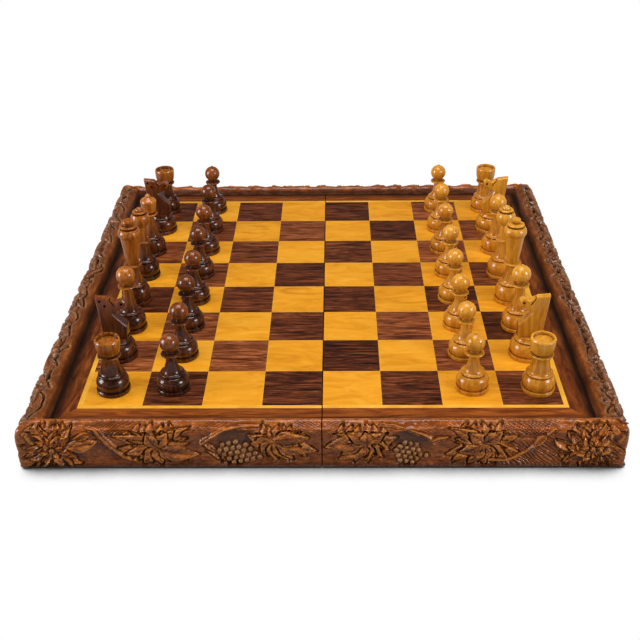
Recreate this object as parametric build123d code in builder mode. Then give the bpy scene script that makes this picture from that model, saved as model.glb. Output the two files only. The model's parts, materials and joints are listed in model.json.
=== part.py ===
"""A folding chess box, opened flat for play, with its 32 turned men standing on the board.

Two shallow trays of carved walnut rails are hinged along the seam between files four and five.
Opened flat, the playing surface is on top and the two hollows face down. Folded, the rims meet
and the hollows together hold the men.

Origin: the middle of the box on the surface it stands on. X runs across the seam towards the
light men, Y runs along the seam towards the back, Z is up. Sizes are millimetres.
"""

import os
from math import sqrt

from build123d import *

# ---------------------------------------------------------------- playing surface
square = 42.0  # side of one square
files = 8  # squares along each side of the board
stringing_width = 3.3  # pale line round the field
border_width = 16.0  # mitred walnut border between the stringing and the rails
veneer_thickness = 1.2
mitre_line = 0.08  # knife cut between mitred strips

# ---------------------------------------------------------------- trays
front_rail_thickness = 16.3  # front and back rails
end_rail_thickness = 20.2  # rails at the two ends, parallel to the seam
tray_depth = 26.6  # from the rim up to the playing surface
rail_rise = 7.3  # crest of the rails above the playing surface
panel_thickness = 5.0  # plywood under the veneers
panel_tongue = 4.0  # how far the panel enters the rails' grooves
panel_side_play = 0.2  # between the panel's edge and the bottom of its groove
hinge_wall_thickness = 10.0  # inner wall of each tray, along the seam
seam_gap = 0.8  # between the two halves
lining_thickness = 1.0  # baize on the underside of the panel

# Rounded top of a rail: share of the rail's thickness, and height above the playing surface
rail_inner_foot = 0.8
rail_inner_shoulder = (0.15, 5.2)
rail_crest_share = 0.46
rail_outer_shoulder = (0.86, 4.8)
rail_outer_spring = -1.0
rail_bottom_chamfer = 0.6

# ---------------------------------------------------------------- hinges
hinge_offset = 120.0  # each hinge's middle, from the middle of the seam
leaf_length = 50.0
leaf_width = 8.6
leaf_thickness = 0.9
knuckle_radius = 1.25
knuckles = 3  # the outer two belong to the left leaf
knuckle_end_play = 0.3
pin_radius = 0.6
pin_clearance = 0.05
swing_clearance = 0.3  # round a turning knuckle
leaf_seat_play = 0.15  # round a leaf in its recess

screw_pitch = 18.0
screws_per_leaf = 3
screw_shank_radius = 0.9
screw_head_radius = 1.7
screw_head_depth = 0.7
screw_length = 9.0
screw_slot_width = 0.5
screw_slot_depth = 0.3
screw_fit = 0.03  # between a screw and its hole

# ---------------------------------------------------------------- pads under the rim
floor_clearance = 0.1  # between the knuckles and the table
pad_thickness = knuckle_radius + floor_clearance
pad_radius = 5.5
pad_inset = 24.0  # pad's middle from the front or back face

# ---------------------------------------------------------------- hook closure
latch_height = 9.5  # pivot and catch, above the rim
latch_side_shift = 0.0  # pivot, along the rail from its middle
hook_thickness = 1.2
hook_standoff = 0.5  # between the hook and the rail
hook_arm_width = 3.6
hook_eye_radius = 3.4
hook_head_play = 0.3  # between the hook and the heads of the two screws
hook_tip_radius = 4.0
hook_lift_radius = 1.8  # thumb lobe at the end of the hook
catch_play = 0.25  # round the catch's neck
latch_neck_radius = 1.3
latch_head_radius = 3.0
latch_head_thickness = 1.3
latch_head_rounding = 0.8
latch_screw_length = 10.0

# ---------------------------------------------------------------- men
foot_radius = 12.0
foot_height = 3.1
foot_edge = 0.6
bulb_radius = 11.7
bulb_widest = 7.2  # height of the bulb's widest place
groove_height = 0.5
rim_thickness = 1.3  # rounded edges of skirts and collars

pawn_skirt = (8.8, 13.9)  # radius and height of the skirt above the bulb
pawn_collar = (6.8, 29.6)
pawn_neck_radius = 3.5
pawn_ball = (6.9, 38.2)

# Hollow curve of a stem: share of the way from the neck out to the skirt, at a share of its height
stem_low = (0.42, 0.22)
stem_high = (0.06, 0.62)

rook_skirt = (9.7, 14.3)
rook_collar = (8.3, 29.3)
rook_neck_radius = 6.0
rook_cup_foot = (6.8, 0.6)  # radius, and height above the neck
rook_cup_shoulder = (8.3, 3.6)
rook_cup_radius = 8.9
rook_height = 43.0
rook_lip = 0.9
rook_dish_radius = 7.4
rook_dish_depth = 2.4
rook_notches = 12
rook_notch_radius = 0.8
rook_notch_depth = 0.8

bishop_skirt = (9.0, 15.4)
bishop_collar = (6.9, 37.6)
bishop_neck_radius = 3.7
bishop_ball = (7.3, 46.4)
coronet_radius = 7.0
coronet_height = 51.0
coronet_flare = (0.9, 3.0)  # in from the widest radius, and above the neck
coronet_lip = (0.8, 1.4)  # width and height of the slope below the lip
coronet_rise = 2.4  # of the low cone on its top
coronet_nub = (2.3, 2.8)  # radius and height

queen_skirt = (9.3, 16.0)
queen_collar = (6.6, 33.2)
queen_neck_radius = 4.4
queen_cup = (7.9, 55.0)  # radius and height of the cup's widest place
queen_cup_foot = (3.8, 8.2)  # in from the widest radius, and below it
queen_cup_lip = (1.4, 3.2)  # in from the widest radius, and above it
queen_ring = (5.9, 60.2)
queen_ring_waist = 1.6  # in from the ring's radius, and below it
queen_knob_neck = (2.6, 0.5)  # radius, and height above the ring
queen_knob = (3.2, 2.8)  # radius and height

king_skirt = (9.5, 16.6)
king_collar = (7.1, 34.0)
king_neck_radius = 4.8
king_height = 73.0
king_cone_foot = (5.0, 0.4)  # radius, and height above the neck
king_cone = (7.6, 13.9)  # radius at its top, and how far that is below the man's top
king_crown_foot = (8.3, 13.7)
king_crown = (9.0, 11.0)
king_crown_lip = (7.1, 7.1)
king_ring = (6.8, 5.2)
king_ring_waist = (5.3, 6.6)
dark_finial_radius = 5.0
light_finial_radius = 3.4
king_finial_foot = (0.9, 4.05)  # in from the finial's radius, and below the man's top
king_finial_neck = (0.5, 2.9)
king_finial_edge = (0.7, 0.9)

knight_foot_radius = 13.5
knight_bulb_radius = 13.1
knight_skirt = (10.4, 14.6)
knight_neck_radius = 9.2
knight_collar_height = 18.0
knight_collar_slope = 1.4
knight_foot_thickness = 10.6  # the head is a wedge
knight_crown_thickness = 4.4
knight_blank_height = 56.0  # of the wedge before it is sawn to profile
knight_edge = 0.7  # chamfer round the head's flat sides
knight_reach = 13.0  # no part of the head is further from the man's axis
knight_hole_radius = 1.0
knight_hole_web = 2.8  # wood left between two facing holes
knight_kerf_width = 0.8  # saw cut between the mane and the head
knight_kerf_length = 10.0
knight_kerf_lean = 33.0  # degrees, towards the mane

nub_radius = 0.8
nub_height = 0.3  # straight part, under its round end

# Where each man stands off the middle of its square, rank one to eight from the front:
# outwards to its own end of the board, and towards the back.
dark_back_outward = (2.5, 6.2, 4.0, 7.0, 6.2, 7.0, 5.0, 6.0)
light_back_outward = (6.2, 5.6, 4.0, 4.5, 4.0, 4.5, 6.6, 5.5)
pawn_outward = (1.6, 0.6, 0.6, 0.6, 1.4, 1.2, 1.8, 2.6)
back_depth = (-1.0, 1.5, -1.0, -1.0, 0.0, 2.0, 4.0, 4.5)
pawn_depth = (0.5, 1.5, 1.0, 0.5, 2.0, 3.0, 4.0, 4.5)

# ---------------------------------------------------------------- derived levels and extents
rim = pad_thickness  # level of the rim and of the hinge axis
board_top = rim + tray_depth
panel_top = board_top - veneer_thickness
panel_bottom = panel_top - panel_thickness
rail_top = board_top + rail_rise

field_half = square * files / 2
string_half = field_half + stringing_width
inner_half = string_half + border_width  # the rails' inner faces
outer_x = inner_half + end_rail_thickness
outer_y = inner_half + front_rail_thickness
seam = seam_gap / 2
wall_inside = seam + hinge_wall_thickness

latch_z = rim + latch_height
pad_x = outer_x - end_rail_thickness / 2
# The pads' inner edges meet when the box is folded, and hold the rims this far apart at the ends
fold_gap = 2 * pad_thickness * outer_x / (pad_x - pad_radius)
hook_reach = 2 * latch_height + fold_gap
latch_head_inside = hook_standoff + hook_thickness + hook_head_play


def save(part, name):
    """Labels a finished piece and writes it under its own name."""
    part.label = name
    export_step(part, f"parts/{name}.step")


def mirrored(piece, about):
    """The same piece on the other side of a plane."""
    with BuildPart() as twin:
        add(piece.part)
        mirror(about=about, mode=Mode.REPLACE)
    return twin


def save_both(piece, name):
    """Writes a left-hand piece and its twin on the right half."""
    save(piece.part, f"left_{name}")
    save(mirrored(piece, Plane.YZ).part, f"right_{name}")


# ================================================================ trays
def rail(section_plane, thickness, length, plan):
    """A moulded rail: its section run along its length, then mitred to its plan."""
    with BuildPart() as piece:
        with BuildSketch(section_plane):
            with BuildLine():
                Polyline(
                    (thickness, board_top + rail_outer_spring),
                    (thickness, rim + rail_bottom_chamfer),
                    (thickness - rail_bottom_chamfer, rim),
                    (0, rim),
                    (0, panel_bottom),
                    (panel_tongue + panel_side_play, panel_bottom),
                    (panel_tongue + panel_side_play, panel_top),
                    (0, panel_top),
                    (0, board_top + rail_inner_foot),
                )
                Spline(
                    (0, board_top + rail_inner_foot),
                    (rail_inner_shoulder[0] * thickness, board_top + rail_inner_shoulder[1]),
                    (rail_crest_share * thickness, rail_top),
                    (rail_outer_shoulder[0] * thickness, board_top + rail_outer_shoulder[1]),
                    (thickness, board_top + rail_outer_spring),
                    tangents=((0, 1), (0, -1)),
                )
            make_face()
        extrude(amount=length)
        with BuildSketch(Plane.XY):
            with BuildLine():
                Polyline(*plan, close=True)
            make_face()
        extrude(amount=rail_top, mode=Mode.INTERSECT)
    return piece


front_section = Plane(origin=(0, -inner_half, 0), x_dir=(0, -1, 0), z_dir=(-1, 0, 0))
front_plan = [
    (-outer_x, -outer_y),
    (-seam, -outer_y),
    (-seam, -inner_half),
    (-inner_half, -inner_half),
]
front_rail = rail(front_section, front_rail_thickness, outer_x, front_plan)
save_both(front_rail, "front_rail")
save_both(mirrored(front_rail, Plane.XZ), "back_rail")

end_section = Plane(origin=(-inner_half, -outer_y, 0), x_dir=(-1, 0, 0), z_dir=(0, 1, 0))
end_plan = [
    (-outer_x, -outer_y),
    (-inner_half, -inner_half),
    (-inner_half, inner_half),
    (-outer_x, outer_y),
]
plain_end_rail = rail(end_section, end_rail_thickness, 2 * outer_y, end_plan)
with BuildPart() as left_end_rail:
    add(plain_end_rail.part)
    with BuildSketch(Plane(origin=(-outer_x, latch_side_shift, latch_z), z_dir=(-1, 0, 0))):
        Circle(latch_neck_radius + screw_fit)
    extrude(amount=-latch_screw_length - screw_fit, mode=Mode.SUBTRACT)
save_both(left_end_rail, "end_rail")

hinge_places = [(0, -hinge_offset), (0, hinge_offset)]
screw_line = (seam + leaf_width) / 2 + knuckle_radius / 2

with BuildPart() as left_hinge_wall:
    with BuildSketch(Plane.XY.offset(rim)):
        with Locations((-(seam + wall_inside) / 2, 0)):
            Rectangle(hinge_wall_thickness, 2 * inner_half)
    extrude(amount=panel_bottom - rim)
    # recesses for the leaves, flush with the rim
    with BuildSketch(Plane.XY.offset(rim)):
        with Locations(hinge_places):
            Rectangle(2 * (leaf_width + leaf_seat_play), leaf_length + 2 * leaf_seat_play)
    extrude(amount=leaf_thickness, mode=Mode.SUBTRACT)
    # room for the turning knuckles
    with Locations([Location((0, y, rim), (90, 0, 0)) for _, y in hinge_places]):
        Cylinder(
            knuckle_radius + swing_clearance,
            leaf_length + 2 * knuckle_end_play,
            mode=Mode.SUBTRACT,
        )
    # pilot holes
    with BuildSketch(Plane.XY.offset(rim)):
        with Locations(hinge_places):
            with Locations((-screw_line, 0)):
                with GridLocations(0, screw_pitch, 1, screws_per_leaf):
                    Circle(screw_shank_radius + screw_fit)
    extrude(amount=screw_length + screw_fit, mode=Mode.SUBTRACT)
save_both(left_hinge_wall, "hinge_wall")

panel_edge = inner_half + panel_tongue
with BuildPart() as left_board_panel:
    with BuildSketch(Plane.XY.offset(panel_bottom)):
        with Locations((-seam, 0)):
            Rectangle(panel_edge - seam, 2 * panel_edge, align=(Align.MAX, Align.CENTER))
    extrude(amount=panel_thickness)
save_both(left_board_panel, "board_panel")

with BuildPart() as left_felt:
    with BuildSketch(Plane.XY.offset(panel_bottom)):
        with Locations((-(inner_half + wall_inside) / 2, 0)):
            Rectangle(inner_half - wall_inside, 2 * inner_half)
    extrude(amount=-lining_thickness)
    with BuildSketch(Plane.XY):
        with Locations((-pad_x, pad_inset - outer_y), (-pad_x, outer_y - pad_inset)):
            Circle(pad_radius)
    extrude(amount=pad_thickness)
save_both(left_felt, "felt")


# ================================================================ playing surface
def squares(shade, first_file, last_file):
    """The squares of one shade on one half. Shade 0 holds the square at the left front."""
    with BuildPart() as veneers:
        with BuildSketch(Plane.XY.offset(panel_top)):
            for file in range(first_file, last_file):
                for rank in range(files):
                    if (file + rank) % 2 == shade:
                        x = (file + 0.5) * square - field_half
                        y = (rank + 0.5) * square - field_half
                        with Locations((x, y)):
                            Rectangle(square, square)
            # the seam is cut out of the files beside it
            Rectangle(seam_gap, 2 * field_half, mode=Mode.SUBTRACT)
        extrude(amount=veneer_thickness)
    return veneers


save(squares(0, 0, files // 2).part, "left_light_squares")
save(squares(1, 0, files // 2).part, "left_dark_squares")
save(squares(0, files // 2, files).part, "right_light_squares")
save(squares(1, files // 2, files).part, "right_dark_squares")


def frame_strips(inside, outside):
    """Three mitred strips of veneer round the left half of a square field."""
    with BuildPart() as strips:
        with BuildSketch(Plane.XY.offset(panel_top)):
            with Locations((-seam, 0)):
                Rectangle(outside - seam, 2 * outside, align=(Align.MAX, Align.CENTER))
                Rectangle(
                    inside - seam, 2 * inside, align=(Align.MAX, Align.CENTER), mode=Mode.SUBTRACT
                )
            # the knife cuts of the two mitres
            for corner_y, turn in ((-inside, 45), (inside, -45)):
                with Locations(Location((-inside, corner_y), (0, 0, turn))):
                    Rectangle(4 * (outside - inside), mitre_line, mode=Mode.SUBTRACT)
        extrude(amount=veneer_thickness)
    return strips


save_both(frame_strips(field_half, string_half), "stringing")
save_both(frame_strips(string_half, inner_half), "border")

# ================================================================ hinges
segment = leaf_length / knuckles


def hinge_leaves(side, own):
    """One leaf of each hinge, on the side x < 0 (-1) or x > 0 (1), with its own knuckles."""
    others = [i for i in range(knuckles) if i not in own]
    step = [(i - (knuckles - 1) / 2) * segment for i in range(knuckles)]
    own_places = [Location((0, y + step[i], rim), (90, 0, 0)) for _, y in hinge_places for i in own]
    other_places = [
        Location((0, y + step[i], rim), (90, 0, 0)) for _, y in hinge_places for i in others
    ]
    with BuildPart() as leaves:
        with BuildSketch(Plane.XY.offset(rim)):
            with Locations([(side * leaf_width / 2, y) for _, y in hinge_places]):
                Rectangle(leaf_width, leaf_length)
        extrude(amount=leaf_thickness)
        with Locations(other_places):
            Cylinder(
                knuckle_radius + swing_clearance, segment + knuckle_end_play, mode=Mode.SUBTRACT
            )
        with Locations(own_places):
            Cylinder(knuckle_radius, segment - knuckle_end_play)
        with Locations([Location((0, y, rim), (90, 0, 0)) for _, y in hinge_places]):
            Cylinder(pin_radius + pin_clearance, 2 * leaf_length, mode=Mode.SUBTRACT)
        with Locations(
            [Location((side * screw_line, y, rim), (180, 0, 0)) for _, y in hinge_places]
        ):
            with GridLocations(0, screw_pitch, 1, screws_per_leaf):
                CounterSinkHole(
                    screw_shank_radius + screw_fit,
                    screw_head_radius + screw_fit,
                    depth=leaf_thickness,
                )
    return leaves


save(hinge_leaves(-1, (0, 2)).part, "left_hinge_leaves")
save(hinge_leaves(1, (1,)).part, "right_hinge_leaves")

with BuildPart() as hinge_pins:
    with Locations([Location((0, y, rim), (90, 0, 0)) for _, y in hinge_places]):
        Cylinder(pin_radius, leaf_length)
save(hinge_pins.part, "hinge_pins")

with BuildPart() as hinge_screw:
    with BuildSketch(Plane.XZ):
        with BuildLine():
            Polyline(
                (0, 0),
                (screw_head_radius, 0),
                (screw_shank_radius, screw_head_depth),
                (screw_shank_radius, screw_length - screw_shank_radius),
                (0, screw_length),
                close=True,
            )
        make_face()
    revolve(axis=Axis.Z)
    with BuildSketch(Plane.XY):
        Rectangle(2 * screw_head_radius, screw_slot_width)
    extrude(amount=screw_slot_depth, mode=Mode.SUBTRACT)

with BuildPart() as left_hinge_screws:
    with Locations([Location((-screw_line, y, rim)) for _, y in hinge_places]):
        with GridLocations(0, screw_pitch, 1, screws_per_leaf):
            add(hinge_screw.part)
save_both(left_hinge_screws, "hinge_screws")

# ================================================================ hook closure
latch_plane = Plane(
    origin=(-outer_x, latch_side_shift, latch_z), x_dir=(0, 1, 0), z_dir=(-1, 0, 0)
)
# On this plane x runs along the rail towards the back, and y runs down towards the rim


def latch_screw():
    """A round-headed screw with a plain neck, driven square into the end rail."""
    with BuildPart() as screw:
        with BuildSketch(latch_plane.offset(-latch_screw_length)):
            Circle(latch_neck_radius)
        extrude(amount=latch_screw_length + latch_head_inside)
        with BuildSketch(latch_plane.offset(latch_head_inside)):
            Circle(latch_head_radius)
        extrude(amount=latch_head_thickness)
        fillet(screw.edges().group_by(Axis.X)[0], latch_head_rounding)
        with BuildSketch(latch_plane.offset(latch_head_inside + latch_head_thickness)):
            Rectangle(2 * latch_head_radius, screw_slot_width)
        extrude(amount=-screw_slot_depth, mode=Mode.SUBTRACT)
    return screw


save(latch_screw().part, "hook_screw")
save(mirrored(latch_screw(), Plane.YZ).part, "catch_screw")

with BuildPart() as hook:
    with BuildSketch(latch_plane.offset(hook_standoff)):
        Circle(hook_eye_radius)
        with Locations((hook_reach / 2, 0)):
            Rectangle(hook_reach, hook_arm_width)
        with Locations((hook_reach, 0)):
            Circle(hook_tip_radius)
        with Locations((hook_reach + hook_tip_radius, -hook_lift_radius)):
            Circle(hook_lift_radius)
        Circle(latch_neck_radius + pin_clearance, mode=Mode.SUBTRACT)
        # open slot that swings over the neck of the catch
        with Locations((hook_reach, 0)):
            Circle(latch_neck_radius + catch_play, mode=Mode.SUBTRACT)
        with Locations((hook_reach, hook_tip_radius / 2)):
            Rectangle(
                2 * (latch_neck_radius + catch_play), hook_tip_radius, mode=Mode.SUBTRACT
            )
    extrude(amount=hook_thickness)
save(hook.part, "hook")


# ================================================================ men
def base_outline(skirt, foot=foot_radius, bulb=bulb_radius):
    """Foot, groove, bulb and the edge of the skirt. Ends on top of the skirt's rim."""
    skirt_radius, skirt_height = skirt
    groove_top = foot_height + groove_height
    under = skirt_height - rim_thickness / 2
    Polyline(
        (0, 0),
        (foot - foot_edge / 2, 0),
        (foot, foot_edge),
        (foot, foot_height - foot_edge),
        (foot - foot_edge, foot_height),
        (bulb - 2 * groove_height, foot_height),
        (bulb - 2 * groove_height, groove_top),
    )
    ThreePointArc(
        (bulb - 2 * groove_height, groove_top),
        (bulb, bulb_widest),
        (skirt_radius - groove_height, under - groove_height),
    )
    Polyline(
        (skirt_radius - groove_height, under - groove_height),
        (skirt_radius - rim_thickness, under - groove_height),
        (skirt_radius - rim_thickness, under),
        (skirt_radius - rim_thickness / 2, under),
    )
    ThreePointArc(
        (skirt_radius - rim_thickness / 2, under),
        (skirt_radius, skirt_height),
        (skirt_radius - rim_thickness / 2, skirt_height + rim_thickness / 2),
    )
    return skirt_radius - rim_thickness / 2, skirt_height + rim_thickness / 2


def stem_outline(start, neck_radius, collar):
    """Hollow curve from the skirt up to the neck, then the collar. Ends inside the collar's top."""
    collar_radius, collar_height = collar
    under = collar_height - rim_thickness / 2
    over = collar_height + rim_thickness / 2
    drop = start[1]
    Spline(
        start,
        *[
            (neck_radius + out * (start[0] - neck_radius), drop + up * (under - drop))
            for out, up in (stem_low, stem_high)
        ],
        (neck_radius, under),
        tangents=((-1, 0.25), (0, 1)),
    )
    Line((neck_radius, under), (collar_radius - rim_thickness / 2, under))
    ThreePointArc(
        (collar_radius - rim_thickness / 2, under),
        (collar_radius, collar_height),
        (collar_radius - rim_thickness / 2, over),
    )
    Line((collar_radius - rim_thickness / 2, over), (neck_radius, over + rim_thickness / 2))
    return neck_radius, over + rim_thickness / 2


def ball_outline(start, ball):
    """A ball on a neck, with a small nub on top."""
    radius, height = ball
    neck = start[0]
    Line(start, (neck, height - sqrt(radius**2 - neck**2)))
    crown = height + sqrt(radius**2 - nub_radius**2)
    ThreePointArc(
        (neck, height - sqrt(radius**2 - neck**2)), (radius, height), (nub_radius, crown)
    )
    Line((nub_radius, crown), (nub_radius, crown + nub_height))
    ThreePointArc(
        (nub_radius, crown + nub_height),
        (nub_radius * sqrt(0.5), crown + nub_height + nub_radius * sqrt(0.5)),
        (0, crown + nub_height + nub_radius),
    )
    return crown + nub_height + nub_radius


def dome_outline(seat, rise):
    """A low dome. Its circle is centred on the man's axis. Returns the height of its top."""
    dome_radius = (seat[0] ** 2 + rise**2) / (2 * rise)
    centre = seat[1] + rise - dome_radius
    halfway = seat[0] / 2
    top = seat[1] + rise
    ThreePointArc(seat, (halfway, centre + sqrt(dome_radius**2 - halfway**2)), (0, top))
    return top


def pawn_head(start):
    """A ball."""
    return ball_outline(start, pawn_ball)


def bishop_head(start):
    """A larger ball."""
    return ball_outline(start, bishop_ball)


def coronet_head(start):
    """A short drum with a low cone on top and a domed nub on the cone."""
    nub_seat = (coronet_nub[0], coronet_height + coronet_rise)
    side_top = (coronet_radius, coronet_height - coronet_lip[1])
    Spline(
        start,
        (coronet_radius - coronet_flare[0], start[1] + coronet_flare[1]),
        side_top,
        tangents=((1, 0.1), (0.1, 1)),
    )
    Polyline(
        side_top,
        (coronet_radius - coronet_lip[0], coronet_height),
        nub_seat,
    )
    return dome_outline(nub_seat, coronet_nub[1])


def rook_head(start):
    """A full, round-bottomed cup, dished on top."""
    cup_foot = (rook_cup_foot[0], start[1] + rook_cup_foot[1])
    cup_edge = (rook_cup_radius, rook_height - rook_lip)
    Line(start, cup_foot)
    Spline(
        cup_foot,
        (rook_cup_shoulder[0], start[1] + rook_cup_shoulder[1]),
        cup_edge,
        tangents=((1, 0.7), (0.03, 1)),
    )
    Polyline(
        cup_edge,
        (rook_cup_radius - rook_lip / 2, rook_height),
        (rook_dish_radius, rook_height),
        (rook_dish_radius, rook_height - rook_dish_depth),
        (0, rook_height - rook_dish_depth),
    )
    return rook_height - rook_dish_depth


def ring_outline(inner, ring):
    """A thin turned ring, from the neck below it to the neck above it."""
    ring_radius, ring_height = ring
    half = rim_thickness / 2
    Line(inner, (inner[0], ring_height - half))
    Line((inner[0], ring_height - half), (ring_radius - half, ring_height - half))
    ThreePointArc(
        (ring_radius - half, ring_height - half),
        (ring_radius, ring_height),
        (ring_radius - half, ring_height + half),
    )
    return ring_radius - half, ring_height + half


def queen_head(start):
    """A slim stem, a round cup, a ring and a domed knob."""
    cup_radius, cup_height = queen_cup
    cup_foot = (cup_radius - queen_cup_foot[0], cup_height - queen_cup_foot[1])
    cup_top = (cup_radius - queen_cup_lip[0], cup_height + queen_cup_lip[1])
    waist = (queen_ring[0] - queen_ring_waist, queen_ring[1] - queen_ring_waist)
    Line(start, cup_foot)
    ThreePointArc(cup_foot, queen_cup, cup_top)
    Line(cup_top, waist)
    edge = ring_outline(waist, queen_ring)
    knob_foot = edge[1] + queen_knob_neck[1]
    knob_seat = (queen_knob[0], knob_foot)
    Polyline(edge, (queen_knob_neck[0], edge[1]), (queen_knob_neck[0], knob_foot), knob_seat)
    return dome_outline(knob_seat, queen_knob[1])


def king_outline(start, finial_radius):
    """A tall cone that widens upwards, a crown band, a ring and a flat finial."""
    cone_top, crown_foot, crown, crown_lip, waist, ring = [
        (radius, king_height - below)
        for radius, below in (
            king_cone,
            king_crown_foot,
            king_crown,
            king_crown_lip,
            king_ring_waist,
            king_ring,
        )
    ]
    finial = [
        (finial_radius - inset, king_height - below)
        for inset, below in (
            king_finial_foot,
            king_finial_neck,
            (0, king_finial_edge[1]),
            (king_finial_edge[0], 0),
        )
    ]
    Polyline(start, (king_cone_foot[0], start[1] + king_cone_foot[1]), cone_top, crown_foot)
    ThreePointArc(crown_foot, crown, crown_lip)
    Line(crown_lip, waist)
    Polyline(ring_outline(waist, ring), *finial, (0, king_height))
    return king_height


def dark_king_head(start):
    """A broad finial."""
    return king_outline(start, dark_finial_radius)


def light_king_head(start):
    """A narrow finial."""
    return king_outline(start, light_finial_radius)


def turned_man(skirt, neck_radius, collar, head):
    """A man turned in one piece round Z, standing on z = 0."""
    with BuildPart() as man:
        with BuildSketch(Plane.XZ):
            with BuildLine():
                skirt_top = base_outline(skirt)
                collar_top = stem_outline(skirt_top, neck_radius, collar)
                top = head(collar_top)
                Line((0, top), (0, 0))
            make_face()
        revolve(axis=Axis.Z)
    return man


def notched_rook(plain):
    """The dark rook's cup also has shallow notches round the inside of its lip."""
    with BuildPart() as man:
        add(plain.part)
        with BuildSketch(Plane.XY.offset(rook_height)):
            with PolarLocations(rook_dish_radius, rook_notches):
                Circle(rook_notch_radius)
        extrude(amount=-rook_notch_depth, mode=Mode.SUBTRACT)
    return man


# The knight's head in profile, from the back of the neck round by the ear and the muzzle.
# It looks towards +X. The first number is the distance from the man's axis, the second the height.
knight_foot = knight_collar_height - 0.6
knight_back = (-8.6, knight_foot)
knight_ear = (-12.7, 51.4)
knight_poll = (-3.6, 50.4)
knight_brow = (2.2, 47.4)
knight_nose = (7.4, 49.2)
knight_muzzle = (9.2, 47.2)
knight_chin = (8.4, 43.6)
knight_throat = (-0.6, 38.0)
knight_breast = [(0.2, 36.4), (9.0, 27.6)]
knight_front = (8.4, knight_foot)
nostril = (6.4, 45.8)
ear_and_cheek = [(-9.4, 48.2), (-5.8, 44.4)]
knight_kerf_foot = (1.2, 44.2)  # where the saw cut ends


def make_knight(holes):
    """A turned base with a wedge-shaped head sawn to profile, chamfered and drilled."""
    collar = knight_neck_radius
    with BuildPart() as man:
        with BuildSketch(Plane.XZ):
            with BuildLine():
                edge = base_outline(knight_skirt, knight_foot_radius, knight_bulb_radius)
                Polyline(
                    edge,
                    (collar, knight_collar_height - knight_collar_slope),
                    (collar, knight_collar_height),
                    (0, knight_collar_height),
                    (0, 0),
                )
            make_face()
        revolve(axis=Axis.Z)
    with BuildPart() as head:
        with BuildSketch(Plane.XZ):
            with BuildLine():
                Polyline(
                    knight_back,
                    knight_ear,
                    knight_poll,
                    knight_brow,
                    knight_nose,
                    knight_muzzle,
                    knight_chin,
                    knight_throat,
                    *knight_breast,
                    knight_front,
                    knight_back,
                )
            make_face()
        extrude(amount=knight_foot_thickness / 2, both=True)
        # the head is planed thinner towards its top
        with BuildSketch(Plane.YZ):
            with BuildLine():
                Polyline(
                    (knight_foot_thickness / 2, knight_foot),
                    (knight_crown_thickness / 2, knight_blank_height),
                    (-knight_crown_thickness / 2, knight_blank_height),
                    (-knight_foot_thickness / 2, knight_foot),
                    close=True,
                )
            make_face()
        extrude(amount=knight_reach, both=True, mode=Mode.INTERSECT)
        planed = head.faces().sort_by(Axis.Y)
        chamfer(planed[0].edges() + planed[-1].edges(), knight_edge)
        # the blank is turned to a slim barrel before it is sawn
        with BuildSketch(Plane.XY.offset(knight_foot)):
            Circle(knight_reach)
        extrude(amount=knight_ear[1], mode=Mode.INTERSECT)
        # drilled holes, alike on both sides
        for side in (1, -1):
            with BuildSketch(Plane.XZ.offset(side * knight_hole_web / 2)):
                with Locations(*holes):
                    Circle(knight_hole_radius)
            extrude(amount=side * knight_foot_thickness, mode=Mode.SUBTRACT)
        # saw cut between the mane and the head
        with BuildSketch(Plane.XZ):
            with Locations(knight_kerf_foot):
                Rectangle(
                    knight_kerf_width,
                    knight_kerf_length,
                    rotation=knight_kerf_lean,
                    align=(Align.CENTER, Align.MIN),
                )
        extrude(amount=knight_foot_thickness, both=True, mode=Mode.SUBTRACT)
    with BuildPart() as knight:
        add(man.part)
        add(head.part)
    return knight


pawn = turned_man(pawn_skirt, pawn_neck_radius, pawn_collar, pawn_head)
rook = turned_man(rook_skirt, rook_neck_radius, rook_collar, rook_head)
dark_rook = notched_rook(rook)
bishop = turned_man(bishop_skirt, bishop_neck_radius, bishop_collar, bishop_head)
coronet_bishop = turned_man(bishop_skirt, bishop_neck_radius, bishop_collar, coronet_head)
queen = turned_man(queen_skirt, queen_neck_radius, queen_collar, queen_head)
dark_king = turned_man(king_skirt, king_neck_radius, king_collar, dark_king_head)
light_king = turned_man(king_skirt, king_neck_radius, king_collar, light_king_head)
dark_knight = make_knight([nostril, *ear_and_cheek])
light_knight = make_knight([nostril])

# The men of the back rank from the front, as the dark and the light side have them
back_rank = [
    ("rook_front", dark_rook, rook),
    ("knight_front", dark_knight, light_knight),
    ("bishop_front", bishop, bishop),
    ("king", dark_king, light_king),
    ("queen", queen, queen),
    ("bishop_back", coronet_bishop, bishop),
    ("knight_back", dark_knight, light_knight),
    ("rook_back", dark_rook, rook),
]


def stand(man, name, side, column, rank, outward, depth):
    """Stands a man on its square. The dark side is at x < 0 (-1), the light side at x > 0 (1)."""
    x = side * ((column + 0.5) * square + outward)
    y = (rank + 0.5) * square - field_half + depth
    turn = 0 if side < 0 else 180
    with BuildPart() as placed:
        with Locations(Location((x, y, board_top), (0, 0, turn))):
            add(man.part)
    save(placed.part, name)


back_column = files // 2 - 1
pawn_column = back_column - 1
for rank, (title, dark_man, light_man) in enumerate(back_rank):
    depth = back_depth[rank]
    stand(dark_man, f"dark_{title}", -1, back_column, rank, dark_back_outward[rank], depth)
    stand(light_man, f"light_{title}", 1, back_column, rank, light_back_outward[rank], depth)
for rank in range(files):
    for side, shade in ((-1, "dark"), (1, "light")):
        name = f"{shade}_pawn_{rank + 1}"
        stand(pawn, name, side, pawn_column, rank, pawn_outward[rank], pawn_depth[rank])
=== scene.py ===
import json
from math import atan2, cos, hypot, pi, radians, sin
from random import Random

import bpy
import numpy as np
from mathutils import Matrix, Vector

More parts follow.
